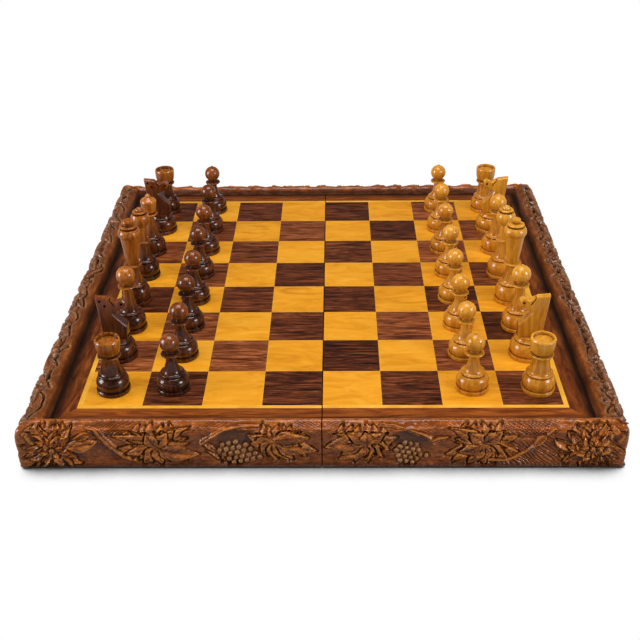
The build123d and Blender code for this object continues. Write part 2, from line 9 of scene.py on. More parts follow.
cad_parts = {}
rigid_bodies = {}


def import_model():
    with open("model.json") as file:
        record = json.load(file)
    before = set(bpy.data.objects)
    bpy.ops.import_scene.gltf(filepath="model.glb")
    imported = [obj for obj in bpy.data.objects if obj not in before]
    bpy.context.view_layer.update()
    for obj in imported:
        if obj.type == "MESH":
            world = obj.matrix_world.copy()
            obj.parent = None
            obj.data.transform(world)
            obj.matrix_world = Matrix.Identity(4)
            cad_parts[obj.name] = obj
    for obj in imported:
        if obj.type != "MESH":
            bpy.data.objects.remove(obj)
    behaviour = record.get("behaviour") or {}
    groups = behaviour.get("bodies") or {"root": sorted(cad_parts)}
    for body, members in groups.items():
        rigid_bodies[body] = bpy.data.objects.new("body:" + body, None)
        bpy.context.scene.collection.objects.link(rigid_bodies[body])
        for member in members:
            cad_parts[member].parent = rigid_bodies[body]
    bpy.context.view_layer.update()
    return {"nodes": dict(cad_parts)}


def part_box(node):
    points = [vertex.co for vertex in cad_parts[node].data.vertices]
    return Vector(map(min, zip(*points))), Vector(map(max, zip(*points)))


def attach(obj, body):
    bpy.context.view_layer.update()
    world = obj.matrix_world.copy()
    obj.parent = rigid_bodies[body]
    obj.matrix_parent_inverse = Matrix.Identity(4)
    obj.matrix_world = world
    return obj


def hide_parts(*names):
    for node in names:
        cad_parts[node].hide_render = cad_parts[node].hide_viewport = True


for left_over in list(bpy.data.objects):
    bpy.data.objects.remove(left_over)
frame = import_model()
nodes = frame["nodes"]
mm = 0.001

# ---------------------------------------------------------------- sizes, read from the frame
front_low, front_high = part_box("left_front_rail")
end_low, end_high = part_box("left_end_rail")
panel_low, panel_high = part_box("left_board_panel")
screw_low, screw_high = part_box("hook_screw")
outer = Vector((-end_low.x, -front_low.y))  # half the box, to the rails' outer faces
inner = Vector((-end_high.x, -front_high.y))  # half the box, to the rails' inner faces
seam = -front_high.x
rim = front_low.z
rail_top = front_high.z
board_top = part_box("left_light_squares")[1].z
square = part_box("left_light_squares")[1].y * 2 / 8
panel_play = 0.2 * mm  # between the panel's edge and the bottom of its groove
groove_depth = -panel_low.y - inner.y + panel_play


# ---------------------------------------------------------------- helpers
def linear(code):
    """An sRGB hex colour as linear RGBA."""
    shades = [int(code[i : i + 2], 16) / 255 for i in (0, 2, 4)]
    return [c / 12.92 if c <= 0.04045 else ((c + 0.055) / 1.055) ** 2.4 for c in shades] + [1.0]


def add_node(tree, kind, inputs=(), output=0, stops=(), **settings):
    """Adds a shader node and gives one of its outputs. The inputs are listed in order, or keyed by
    name or number, and each is a value or the output that it is linked from. The stops are a colour
    ramp's marks: its lowest, its highest, then those between."""
    made = tree.nodes.new(f"ShaderNode{kind}")
    for name, value in settings.items():
        setattr(made, name, value)
    for key, value in inputs.items() if isinstance(inputs, dict) else enumerate(inputs):
        if isinstance(value, bpy.types.NodeSocket):
            tree.links.new(value, made.inputs[key])
        else:
            made.inputs[key].default_value = value
    for i, (place, code) in enumerate(stops):
        marks = made.color_ramp.elements
        mark = marks[i] if i < 2 else marks.new(place)
        mark.position = place
        mark.color = linear(code)
    return made.outputs[output]


def blank_material(name):
    """A material, its tree and its Principled shader."""
    material = bpy.data.materials.new(name)
    material.use_nodes = True
    return material, material.node_tree, material.node_tree.nodes["Principled BSDF"]


def layered(tree, colour, layers):
    """A colour with others laid over it in turn, such as stain or worn wood, each by its own share."""
    for share, over in layers:
        colour = add_node(tree, "Mix", {0: share, 6: colour, 7: over}, 2, data_type="RGBA")
    return colour


def streaks(tree, place, size, detail=6.0, warp=0.6):
    """The streaks of wood grain, each about size millimetres long, wide and deep."""
    spread = add_node(tree, "Mapping", {"Vector": place, "Scale": [1 / (length * mm) for length in size]})
    look = {"Vector": spread, "Scale": 1.0, "Detail": detail, "Roughness": 0.62, "Distortion": warp}
    return add_node(tree, "TexNoise", look, "Fac")


def varnish(tree, shader, colour, roughness, relief, depth, shine=0.5):
    """Links a finish: its colour, its gloss and the fine relief that the varnish leaves, in millimetres."""
    shader.inputs["Specular IOR Level"].default_value = shine
    tree.links.new(colour, shader.inputs["Base Color"])
    tree.links.new(roughness, shader.inputs["Roughness"])
    bumps = add_node(tree, "Bump", {"Height": relief, "Distance": depth * mm, "Strength": 0.6})
    tree.links.new(bumps, shader.inputs["Normal"])


def ray_kinds(tree):
    """1 for a ray straight from the camera or through glass, else 0, and the same for one off a gloss."""
    ray = add_node(tree, "LightPath").node.outputs
    straight = add_node(tree, "Math", (ray["Is Camera Ray"], ray["Is Transmission Ray"]), operation="ADD")
    return straight, ray["Is Glossy Ray"]


def ease(value, start, end):
    """0 before start, 1 after end, smooth between them."""
    t = np.clip((value - start) / (end - start), 0, 1)
    return t * t * (3 - 2 * t)


# ---------------------------------------------------------------- finishes
tone_names = ("leaf", "grape", "shade", "recess", "edge")  # kept on the carved rails' meshes


def carved_walnut():
    """Walnut, carved, stained and varnished: glossy brown, near black in the cuts, where painted shade
    lies over the stained wood, and lighter on leaves and raised edges, from wear and a painted highlight."""
    material, tree, shader = blank_material("varnished_carved_walnut")
    lay = add_node(tree, "Attribute", output="Vector", attribute_name="lay")
    leaf, grape, shade, recess, edge = (
        add_node(tree, "Attribute", output="Fac", attribute_name=name) for name in tone_names
    )
    grain = streaks(tree, lay, (42, 2.6, 2.6))
    cloud = streaks(tree, lay, (9, 5, 5), detail=4.0)
    figure = add_node(tree, "Mix", {0: 0.5, 2: grain, 3: cloud})
    ground_stops = [(0.34, "4E220A"), (0.68, "C06A28"), (0.5, "884416")]
    leaf_stops = [(0.36, "4C1E08"), (0.64, "CC742A"), (0.5, "8C4616")]
    grape_stops = [(0.3, "6A4426"), (0.7, "BC8C5E"), (0.5, "946840")]
    ground = add_node(tree, "ValToRGB", (figure,), stops=ground_stops)
    leaf_face = add_node(tree, "ValToRGB", (cloud,), stops=leaf_stops)
    grape_face = add_node(tree, "ValToRGB", (cloud,), stops=grape_stops)
    # painted shade: the hollows darkened in colour, and the end rails' darker band with them
    shade_share = add_node(tree, "Math", (shade, 0.65), operation="MULTIPLY")
    # painted highlight and wear: raised edges paler, more so on leaves, greyer where the ground is shaded
    rubbed_and_highlit = add_node(tree, "MapRange", (leaf, 0.0, 1.0, 0.25, 0.55))
    paler_share = add_node(tree, "Math", (edge, rubbed_and_highlit), operation="MULTIPLY")
    wear_and_highlight_colour = layered(tree, linear("D08A40"), [(shade, linear("AC8C6C"))])
    # painted shade: near black in the cuts, at the rails' feet and on the bottom corner, over the stained
    # wood
    shade_and_stain = add_node(tree, "MapRange", (recess, 0.2, 1.0, 0.0, 0.85))
    colour = layered(tree, ground, [
        (shade_share, linear("3A281A")),
        (leaf, leaf_face),
        (grape, grape_face),
        (paler_share, wear_and_highlight_colour),
        (shade_and_stain, linear("1E0E06")),
    ])
    gloss = add_node(tree, "MapRange", (cloud, 0.3, 0.7, 0.12, 0.22))
    dulled = add_node(tree, "Math", (recess, 0.3, gloss), operation="MULTIPLY_ADD")
    varnish(tree, shader, colour, dulled, grain, 0.12, shine=0.35)
    return material


def veneer_squares(name, stops, joint, contrast, figure_size, fine_share):
    """Squares cut from sliced veneer and varnished: grain along the board, each with its own tone,
    and a hairline of glue round each."""
    material, tree, shader = blank_material(name)
    place = add_node(tree, "TexCoord", output="Object")
    cells = add_node(tree, "VectorMath", (place, (1 / square,) * 3), operation="MULTIPLY")
    flat = add_node(tree, "VectorMath", (cells, (1, 1, 0)), operation="MULTIPLY")
    corner = add_node(tree, "VectorMath", (flat,), operation="FLOOR")
    own = add_node(tree, "TexWhiteNoise", {"Vector": corner}).node.outputs
    # each square's grain comes from another place in the log
    slip = add_node(tree, "VectorMath", (own["Color"], (3, 3, 3)), operation="MULTIPLY")
    shifted = add_node(tree, "VectorMath", (place, slip), operation="ADD")
    broad = streaks(tree, shifted, figure_size, detail=5.0, warp=1.4)
    fine = streaks(tree, shifted, (13, 0.9, 20), detail=3.0)
    mixed = add_node(tree, "Mix", {0: fine_share / 2, 2: broad, 3: fine})
    tone = add_node(tree, "MapRange", (own["Value"], 0.0, 1.0, -contrast, contrast))
    figure = add_node(tree, "Math", (mixed, tone), operation="ADD")
    colour = add_node(tree, "ValToRGB", (figure,), stops=stops)
    # the glue lies half a square away from each square's middle
    within = add_node(tree, "VectorMath", (cells,), operation="FRACTION")
    centred = add_node(tree, "VectorMath", (within, (0.5, 0.5, 0.5)), operation="SUBTRACT")
    away = add_node(tree, "VectorMath", (centred,), operation="ABSOLUTE")
    away = add_node(tree, "SeparateXYZ", (away,)).node.outputs
    furthest = add_node(tree, "Math", (away["X"], away["Y"]), operation="MAXIMUM")
    glue = add_node(tree, "MapRange", (furthest, 0.493, 0.499, 0.0, 0.75))
    colour = layered(tree, colour, [(glue, linear(joint))])
    gloss = add_node(tree, "MapRange", (broad, 0.3, 0.7, 0.3, 0.42))
    varnish(tree, shader, colour, gloss, fine, 0.05, shine=0.25)
    return material


def border_walnut():
    """Reddish walnut veneer strips, mitred and varnished: long dark streaks along each strip, and
    painted shade, near black, close along the rails."""
    material, tree, shader = blank_material("varnished_walnut_border")
    place = add_node(tree, "TexCoord", output="Object")
    split = add_node(tree, "SeparateXYZ", (place,)).node.outputs
    past_rail = []
    for axis, rail_face in (("X", inner.x), ("Y", inner.y)):
        distance = add_node(tree, "Math", (split[axis],), operation="ABSOLUTE")
        past_rail.append(add_node(tree, "Math", (distance, rail_face), operation="SUBTRACT"))
    on_end = add_node(tree, "Math", past_rail, operation="GREATER_THAN")
    grains = []
    for broad_size, fine_size in (((60, 6, 20), (20, 0.9, 20)), ((8, 45, 20), (1.2, 20, 20))):
        broad = streaks(tree, place, broad_size, detail=6.0, warp=2.2)
        fine = streaks(tree, place, fine_size, detail=3.0)
        grains.append(add_node(tree, "Mix", {0: 0.3, 2: broad, 3: fine}))
    grain = add_node(tree, "Mix", {0: on_end, 2: grains[0], 3: grains[1]})
    stops = [(0.32, "321206"), (0.7, "B4641E"), (0.45, "6A300E"), (0.56, "8E4814")]
    colour = add_node(tree, "ValToRGB", (grain,), stops=stops)
    darker_end = add_node(tree, "Math", (on_end, 0.25), operation="MULTIPLY")
    # painted shade: near black within a few millimetres of each rail
    nearest = add_node(tree, "Math", past_rail, operation="MAXIMUM")
    foot_shade = add_node(tree, "MapRange", (nearest, -9 * mm, -2 * mm, 0.0, 0.95))
    colour = layered(tree, colour, [(darker_end, linear("2E1206")), (foot_shade, linear("140803"))])
    gloss = add_node(tree, "MapRange", (grain, 0.3, 0.7, 0.26, 0.4))
    varnish(tree, shader, colour, gloss, grain, 0.06, shine=0.25)
    return material


def turned_wood(name, low_stops, high_stops, groove, paler_between=(30, 56)):
    """Wood turned on a lathe, stained and glossed: grain up the man, painted shade darkening its grooves,
    and paler higher up, between two heights over the board in millimetres."""
    material, tree, shader = blank_material(name)
    place = add_node(tree, "TexCoord", output="Object")
    height = add_node(tree, "SeparateXYZ", (place,), "Z")
    grain = streaks(tree, place, (3, 3, 26), detail=5.0, warp=0.8)
    each_man = streaks(tree, place, (34, 34, 90), detail=1.0, warp=0.0)
    figure = add_node(tree, "Mix", {0: 0.3, 2: grain, 3: each_man})
    low = add_node(tree, "ValToRGB", (figure,), stops=low_stops)
    high = add_node(tree, "ValToRGB", (figure,), stops=high_stops)
    # each man turns paler from a height of its own
    raised = add_node(tree, "Math", (each_man, 20 * mm, height), operation="MULTIPLY_ADD")
    paler_from, paler_to = (board_top + level * mm for level in paler_between)
    paler_share = add_node(tree, "MapRange", (raised, paler_from, paler_to, 0.0, 1.0))
    crease = add_node(
        tree, "AmbientOcclusion", {"Distance": 3.5 * mm}, "AO", samples=8, only_local=True
    )
    # painted shade: the grooves turn near black where the man closes round them
    shade_and_stain = add_node(tree, "MapRange", (crease, 0.85, 0.35, 0.0, 0.9))
    colour = layered(tree, low, [(paler_share, high), (shade_and_stain, linear(groove))])
    gloss = add_node(tree, "MapRange", (grain, 0.3, 0.7, 0.14, 0.24))
    varnish(tree, shader, colour, gloss, grain, 0.04)
    return material


def plain_wood(name, stops, size, roughness):
    """Plain planed wood with its grain along the longest of the sizes, in millimetres."""
    material, tree, shader = blank_material(name)
    place = add_node(tree, "TexCoord", output="Object")
    grain = streaks(tree, place, size, detail=5.0, warp=0.8)
    colour = add_node(tree, "ValToRGB", (grain,), stops=stops)
    gloss = add_node(tree, "MapRange", (grain, 0.3, 0.7, roughness, roughness + 0.1))
    varnish(tree, shader, colour, gloss, grain, 0.08)
    return material


def baize():
    """Green wool baize: a matt, fuzzy cloth with fine felted fibres."""
    material, tree, shader = blank_material("green_baize")
    place = add_node(tree, "TexCoord", output="Object")
    fibres = streaks(tree, place, (0.7, 0.7, 0.7), detail=8.0, warp=1.5)
    colour = add_node(tree, "ValToRGB", (fibres,), stops=[(0.3, "16452A"), (0.7, "2C7A4A")])
    gloss = add_node(tree, "MapRange", (fibres, 0.3, 0.7, 0.85, 1.0))
    shader.inputs["Sheen Weight"].default_value = 0.5
    shader.inputs["Sheen Roughness"].default_value = 0.5
    varnish(tree, shader, colour, gloss, fibres, 0.25)
    return material


def aged_brass():
    """Sheet and wire brass, polished once and dulled: fine scratches and brown tarnish."""
    material, tree, shader = blank_material("aged_brass")
    place = add_node(tree, "TexCoord", output="Object")
    scratches = streaks(tree, place, (0.3, 6, 0.3), detail=4.0, warp=0.2)
    tarnish = streaks(tree, place, (4, 4, 4), detail=4.0, warp=1.0)
    colour = add_node(tree, "ValToRGB", (tarnish,), stops=[(0.35, "8A6428"), (0.65, "D8B05A")])
    shader.inputs["Metallic"].default_value = 1.0
    gloss = add_node(tree, "MapRange", (tarnish, 0.3, 0.7, 0.42, 0.26))
    varnish(tree, shader, colour, gloss, scratches, 0.03)
    return material


finishes = {
    "carved_walnut": carved_walnut(),
    "plain_walnut": plain_wood("oiled_walnut", [(0.3, "3A1F10"), (0.7, "7C4A24")], (3, 60, 3), 0.4),
    "plywood": plain_wood("birch_plywood", [(0.3, "A9834F"), (0.7, "D3B079")], (3, 80, 6), 0.55),
    "light_veneer": veneer_squares(
        "varnished_light_veneer",
        [(0.25, "C47A10"), (0.8, "ECAA36"), (0.5, "E0961C")],
        joint="F4BC50",
        contrast=0.06,
        figure_size=(34, 11, 20),
        fine_share=0.3,
    ),
    "dark_veneer": veneer_squares(
        "varnished_dark_veneer",
        [(0.37, "1C0904"), (0.69, "B46838"), (0.46, "4A1F0C"), (0.57, "7E401E")],
        joint="1E0D06",
        contrast=0.07,
        figure_size=(36, 3.2, 20),
        fine_share=0.7,
    ),
    "stringing_veneer": plain_wood(
        "varnished_stringing", [(0.3, "D4901E"), (0.7, "F2B43A")], (25, 25, 2), 0.3
    ),
    "border_veneer": border_walnut(),
    "baize": baize(),
    "brass": aged_brass(),
    "dark_stained_wood": turned_wood(
        "dark_stained_turned_wood",
        [(0.32, "150602"), (0.68, "703412"), (0.5, "3E1A08")],
        [(0.32, "6E3410"), (0.68, "D0822A"), (0.5, "9E581A")],
        groove="0E0604",
    ),
    "dark_stained_short_men": turned_wood(
        "dark_stained_turned_wood_short_men",
        [(0.32, "1A0803"), (0.68, "7C3A1A"), (0.5, "44200E")],
        [(0.32, "5A260E"), (0.68, "B0642A"), (0.5, "84431A")],
        groove="0E0604",
        paler_between=(34, 66),
    ),
    "boxwood": turned_wood(
        "varnished_turned_boxwood",
        [(0.32, "96540E"), (0.68, "DE9832"), (0.5, "C07A1C")],
        [(0.32, "B4701A"), (0.68, "EAAC42"), (0.5, "D28E28")],
        groove="5E2A06",
    ),
}
for node_name, cad_node in nodes.items():
    finish_name = cad_node.data.materials[0].name.split(".")[0]
    if node_name.startswith(("dark_pawn", "dark_knight")):
        finish_name = "dark_stained_short_men"
    cad_node.data.materials[0] = finishes[finish_name]

# ================================================================ carved rails
# The carver's drawing is unrolled. S runs along the outer face of one half, from the seam at the
# front, round the end of the box and back to the seam, in millimetres. T runs across it, from the
# bottom edge of the outer face up and over the crest to the inner edge, in millimetres.
corner_radius = 3.6
chamfer = 0.6
nominal_thickness = (outer.y - inner.y) / mm  # of the front and back rails
roll_foot = -1.0  # where the rounded top springs from the outer face, from the board's level
roll_shape = [  # share of the rail's thickness, and height above the board, over the rounded top
    (1.0, roll_foot),
    (0.86, 4.8),
    (0.46, (rail_top - board_top) / mm),
    (0.15, 5.2),
    (0.0, 0.8),
]
outer_face = (board_top - rim) / mm + roll_foot - chamfer  # height of the flat outer face
foot_inset = 1.2  # from the outer face to the inner edge of the chamfer
seam_lap = 0.36  # the back rails all but touch when the box lies open
row_pitch = 0.42
column_pitch = 0.40
end_column_pitch = 0.52
fine_past_corner = 4  # the finer columns go on so far round each corner
stab_depth = 0.7  # a stab cut round each leaf, petal and grape
stab_width = 1.5
full_depth = 2.4  # of the ground under the uncut face
grape_radius = 1.75
vein_pitch = 3.0  # between a leaf's side veins
gouge_pitch = 1.7  # between the gouge's strokes down a petal
screw_t = ((screw_low.z + screw_high.z) / 2 - rim) / mm - chamfer  # level of the hook's screw


def smooth_curve(points, steps):
    """A curve through the points, in so many steps from each to the next. At each point it runs along
    the chord between that point's neighbours."""
    points = np.array(points, float)
    before = np.vstack([points[:1], points[:-1]])
    after = np.vstack([points[1:], points[-1:]])
    slope = (after - before) / 2
    t = np.linspace(0, 1, steps, endpoint=False)[:, None]
    spans = []
    for i in range(len(points) - 1):
        a, b = points[i], points[i + 1]
        spans.append(
            a * (1 + 2 * t) * (1 - t) ** 2
            + slope[i] * t * (1 - t) ** 2
            + b * t**2 * (3 - 2 * t)
            + slope[i + 1] * t**2 * (t - 1)
        )
    return np.vstack(spans + [points[-1:]])


def even(points, pitch):
    """The same line, with points an even pitch apart, and the distance to each along it."""
    step = np.hypot(*np.diff(points, axis=0).T)
    along = np.concatenate([[0], np.cumsum(step)])
    count = max(2, round(along[-1] / pitch) + 1)
    wanted = np.linspace(0, along[-1], count)
    return np.stack([np.interp(wanted, along, points[:, i]) for i in (0, 1)], 1), wanted


roll_ends = [(1.0, -4.0)] + roll_shape + [(0.0, -3.0)]
roll_curve = smooth_curve([(u * nominal_thickness, z) for u, z in roll_ends], 24)[24:-24]
roll, roll_along = even(roll_curve, row_pitch)
face_t = np.linspace(0, outer_face, round(outer_face / row_pitch), endpoint=False)
skin_t = np.concatenate([face_t, outer_face + roll_along])
# the section: share of the thickness, and height, for each T
skin = np.vstack([
    np.stack([np.ones(len(face_t)), rim / mm + chamfer + face_t], 1),
    np.stack([roll[:, 0] / nominal_thickness, board_top / mm + roll[:, 1]], 1),
])
skin[:, 1] = np.minimum(skin[:, 1], rail_top / mm)
skin_length = skin_t[-1]
crest_t = skin_t[np.argmax(skin[:, 1])]
run_x = outer.x / mm - corner_radius - seam / mm
run_y = 2 * (outer.y / mm - corner_radius)
bend = corner_radius * pi / 2
front_corner = run_x + bend / 2
back_corner = front_corner + bend + run_y
whole_way = back_corner + front_corner


def path(s):
    """Points on the outer and inner faces of the left half, in plan, for each place along it."""
    hx, hy = outer.x / mm, outer.y / mm
    s = np.asarray(s, float)
    folded = np.where(s > whole_way / 2, whole_way - s, s)  # the back mirrors the front
    side = np.where(s > whole_way / 2, 1.0, -1.0)
    turn = np.clip((folded - run_x) / corner_radius, 0, pi / 2)
    rise = np.maximum(folded - run_x - bend, 0)
    x = np.where(folded < run_x, -seam / mm - folded, -hx + corner_radius - corner_radius * np.sin(turn))
    y = -hy + corner_radius - corner_radius * np.cos(turn) + rise
    outside = np.stack([x, -side * y], -1)
    inside = np.stack([np.maximum(x, -inner.x / mm), -side * np.maximum(y, -inner.y / mm)], -1)
    return outside, inside


class Drawing:
    """The relief of one half: a height for each place, 0 at the uncut face and less below it, and
    how far each place is leaf, grape or shaded ground, for its colour."""

    def __init__(self, seed):
        turn_in = front_corner + fine_past_corner
        turn_out = back_corner - fine_past_corner
        self.s = np.concatenate([
            np.arange(0, turn_in, column_pitch),
            np.arange(turn_in, turn_out, end_column_pitch),
            np.arange(turn_out, whole_way, column_pitch),
            [whole_way],
        ])
        self.grid_s, self.grid_t = np.meshgrid(self.s, skin_t, indexing="ij")
        self.to_corner = np.minimum(np.abs(self.s - front_corner), np.abs(self.s - back_corner))
        self.lowered = 1.4 * ease(self.to_corner, 26, 70)  # the face is cut back between the corners
        self.random = Random(seed)
        self.height = np.zeros(self.grid_s.shape)
        self.leaf = np.zeros(self.grid_s.shape)
        self.grape = np.zeros(self.grid_s.shape)
        self.shade = np.zeros(self.grid_s.shape)

    def window(self, points, margin):
        """The slice of the drawing round some points."""
        low = np.min(points, axis=0) - margin
        high = np.max(points, axis=0) + margin
        rows = slice(*np.searchsorted(self.s, (low[0], high[0])))
        columns = slice(*np.searchsorted(skin_t, (low[1], high[1])))
        return rows, columns

    def paint(self, part, shape, inside, outside, edge, leaf=0.0, grape=0.0):
        """Puts a shape over what is there, with a stab cut round its outline."""
        cut = edge - stab_depth * np.maximum(0, 1 - outside / stab_width)
        stabbed = np.where(outside < stab_width, np.minimum(self.height[part], cut), self.height[part])
        self.height[part] = np.where(inside, np.minimum(shape, 0.0), stabbed)
        self.leaf[part] = np.where(inside, leaf, self.leaf[part])
        self.grape[part] = np.where(inside, grape, self.grape[part])
        self.shade[part] = np.where(inside, 0.0, self.shade[part])


def blade(drawing, root, tip, width, top, kind="leaf", bend=0.0, tilt=0.0, leaf=1.0, merge=0.12):
    """A petal or a leaf's lobe, from its root to its tip.

    A leaf is pointed, with a sunk midrib and side veins; a petal is round-ended and scooped out; a
    rib is pointed and plainly rounded. It has no cut round it over its first, merged share."""
    root, tip = np.array(root, float), np.array(tip, float)
    along = tip - root
    length = hypot(*along)
    part = drawing.window([root, tip], width + abs(bend) * length)
    s, t = drawing.grid_s[part] - root[0], drawing.grid_t[part] - root[1]
    # a goes from 0 at the root to 1 at the tip; b is the distance from the bent middle line
    a = (s * along[0] + t * along[1]) / length**2
    share = np.clip(a, 0, 1)
    b = (t * along[0] - s * along[1]) / length - 4 * bend * length * share * (1 - share)
    peak, root_power = (0.62, 0.75) if kind == "petal" else (0.42, 0.55)
    past = np.clip((share - peak) / (1 - peak), 0, 1)
    taper = np.sqrt(1 - past**2) if kind == "petal" else (1 - past**1.25)
    half = width / 2 * np.where(share < peak, (np.maximum(share, 1e-4) / peak) ** root_power, taper) + 1e-4
    q = np.clip(b / half, -1, 1)
    # it rises out of the ground at its root and curls down at its tip
    level = top - 0.9 * np.maximum(0, 1 - share / 0.4) ** 2 - 1.4 * np.maximum(0, (share - 0.5) / 0.5) ** 2
    if kind == "leaf":
        midrib = 0.5 * np.exp(-((b / 0.5) ** 2)) * (1 - past)
        turn = 2 * pi * (a * length - 1.1 * np.abs(b)) / vein_pitch
        veins = 0.2 * (1 + np.cos(turn)) * (1 - q**2)
        shape = level - 1.3 * np.abs(np.abs(q) - 0.45) ** 1.5 - midrib - veins
    elif kind == "petal":
        shape = level - 1.7 * (1 - q**2) + 0.25 * np.cos(2 * pi * b / gouge_pitch)
    else:
        shape = level - 1.5 * q**2
    shape = shape + 1.9 * tilt * q
    inside = (a > 0) & (a < 1) & (np.abs(b) < half)
    outside = np.where(inside, 0, np.hypot(np.maximum(0, np.abs(b) - half), np.maximum(0, a - 1) * length))
    outside = np.where(a < merge, 99.0, outside)
    drawing.paint(part, shape, inside, outside, level - 1.4, leaf=leaf)


def lobe(drawing, root, tip, width, top):
    """A lobe of a vine leaf, with a tooth on each side of it."""
    root, tip = np.array(root, float), np.array(tip, float)
    along = tip - root
    length = hypot(*along)
    turn = atan2(along[1], along[0])
    lean = drawing.random.uniform(-0.3, 0.3)
    if length > 11:
        for side in (-1, 1):
            fork = root + along * drawing.random.uniform(0.3, 0.4)
            branch = turn + side * drawing.random.uniform(0.5, 0.8)
            reach = length * drawing.random.uniform(0.36, 0.46)
            point = fork + reach * np.array([cos(branch), sin(branch)])
            blade(drawing, root + along * 0.12, point, width * 0.62, top - 0.45, tilt=0.3 * side)
    bend = drawing.random.uniform(-0.07, 0.07)
    blade(drawing, root, tip, width * 1.25, top, bend=bend, tilt=lean, merge=0.5)


def vine_leaf(drawing, centre, tips, top):
    """A vine leaf: its lobes spread from the end of its stalk, the first of them lowest. Each tip
    has its S, its T and the width of its lobe."""
    for i, (s, t, width) in enumerate(tips):
        level = top_at(drawing, s, t, top - 0.5 + 0.5 * i / len(tips))
        lobe(drawing, centre, (s, t), width, level)


def spread_leaf(drawing, centre, angles, reach, width, top):
    """A vine leaf with a lobe at each of the angles, in degrees, as far as it reaches each way."""
    turns = [radians(angle) for angle in angles]
    tips = [(centre[0] + reach[0] * cos(a), centre[1] + reach[1] * sin(a), width) for a in turns]
    vine_leaf(drawing, centre, tips, top)


def curled_points(drawing, roots, reach, top):
    """Leaf points that curl over the edge of the rail on to its top."""
    for s, t in roots:
        tip = (s + drawing.random.uniform(-1.5, 1.5), t + reach * drawing.random.uniform(0.85, 1.1))
        side = drawing.random.choice([-1, 1])
        width = reach * drawing.random.uniform(0.27, 0.36)
        blade(drawing, (s, t), tip, width, top_at(drawing, s, t + reach / 2, top), "rib",
              bend=0.1 * side, tilt=0.5 * side, leaf=0.5)


def bead(drawing, centre, radius, top, leaf=0.0):
    """A round bead with a punched dimple."""
    dimple = 0.5
    part = drawing.window([centre], radius * 2)
    away = np.hypot(drawing.grid_s[part] - centre[0], drawing.grid_t[part] - centre[1])
    dome = np.sqrt(np.maximum(0, 1 - (away / radius) ** 2))
    ring = np.minimum(1, (away / (0.5 * radius)) ** 2)
    shape = top - 0.95 * radius * (1 - dome) - dimple * (1 - ring)
    outside = np.maximum(0, away - radius)
    drawing.paint(part, shape, away < radius, outside, top - radius, leaf=leaf, grape=1.0 - leaf)


def grapes(drawing, first, rows, along, down, top):
    """A bunch of grapes: beads set close in slanting rows. Each row has its shift and its count."""
    for row, (shift, count) in enumerate(rows):
        for steps in range(count):
            place = [
                first[i] + (steps + shift) * along[i] + row * down[i] + drawing.random.uniform(-0.25, 0.25)
                for i in (0, 1)
            ]
            radius = grape_radius * drawing.random.uniform(0.95, 1.06)
            bead(drawing, place, radius, top + drawing.random.uniform(-0.4, 0))


def hollow(drawing, centre, size, turn, floor_level):
    """A deep dished hollow behind the grapes or between two leaves."""
    part = drawing.window([centre], max(size) * 1.2)
    s, t = drawing.grid_s[part] - centre[0], drawing.grid_t[part] - centre[1]
    u = (s * cos(turn) + t * sin(turn)) / size[0]
    v = (t * cos(turn) - s * sin(turn)) / size[1]
    share = 1 - ease(np.hypot(u, v), 0.6, 1.0)
    mixed = drawing.height[part] * (1 - share) + floor_level * share
    drawing.height[part] = np.minimum(drawing.height[part], mixed)
    drawing.leaf[part] *= 1 - share
    # painted shade: the hollow is darkened in colour
    drawing.shade[part] = np.maximum(drawing.shade[part], share)


# each ring of a flower: how many petals it has, their reach and width, and how low they lie
flower_rings = [(13, 25, 6.0, 1.3), (11, 19, 5.5, 0.8), (9, 13, 4.8, 0.3), (6, 7.5, 3.6, 0.0)]


def flower(drawing, centre):
    """The full flower at a corner, its petals cut free over a deep ground: rings of scooped petals
    and pointed ones round a bud, the outer ring lowest."""
    hollow(drawing, centre, (25, 14), 0, -4.2)
    for count, reach, width, drop in flower_rings:
        start = drawing.random.uniform(0, 1)
        order = list(range(count))
        drawing.random.shuffle(order)
        for i in order:
            turn = 2 * pi * (i + start) / count + drawing.random.uniform(-0.12, 0.12)
            petal = reach * drawing.random.uniform(0.85, 1.1) * np.array([cos(turn), sin(turn)])
            side = drawing.random.choice([-1, 1])
            kind = "petal" if drawing.random.random() < 0.55 else "leaf"
            top = drawing.random.uniform(-0.35, 0.0) - drop
            blade(drawing, centre + 0.16 * petal, centre + petal, width, top, kind,
                  bend=0.09 * side, tilt=0.5 * side)
    bead(drawing, centre, 1.9, 0.1, leaf=1.0)


def vine(drawing, points, width, top, split=False, leaf=0.6):
    """A stem along a curve, round or split into two ribbons by a groove."""
    line = smooth_curve(points, 14)
    part = drawing.window(line, width + 2)
    s, t = drawing.grid_s[part], drawing.grid_t[part]
    away = np.full(s.shape, 1e9)
    side = np.zeros(s.shape)
    for here, after in zip(line[:-1], line[1:]):
        near = np.hypot(s - here[0], t - here[1])
        step = after - here
        turned = (s - here[0]) * step[1] - (t - here[1]) * step[0]
        side = np.where(near < away, np.sign(turned), side)
        away = np.minimum(away, near)
    half = width / 2
    shape = top - 0.9 * (1 - np.sqrt(np.maximum(0, 1 - (away / half) ** 2)))
    if split:
        shape = top - 0.35 * side - 0.5 * (away / half) ** 2 - 0.8 * np.exp(-((away / 0.35) ** 2))
    drawing.paint(part, shape, away < half, np.maximum(0, away - half), top - 0.8, leaf=leaf)


def hatch(drawing, span, band, angle, pitch, depth):
    """Fine parallel gouge cuts across the ground."""
    part = drawing.window([(span[0], band[0]), (span[1], band[1])], 0)
    s, t = drawing.grid_s[part], drawing.grid_t[part]
    across = s * sin(angle) - t * cos(angle)
    wander = 0.5 * np.sin(s * 0.31) + 0.4 * np.sin(t * 0.7 + s * 0.12)
    fade = (
        ease(s, span[0], span[0] + 4)
        * (1 - ease(s, span[1] - 4, span[1]))
        * ease(t, band[0], band[0] + 1.5)
        * (1 - ease(t, band[1] - 2, band[1]))
    )
    drawing.height[part] -= depth * fade * (0.5 - 0.5 * np.cos(2 * pi * (across + wander) / pitch))


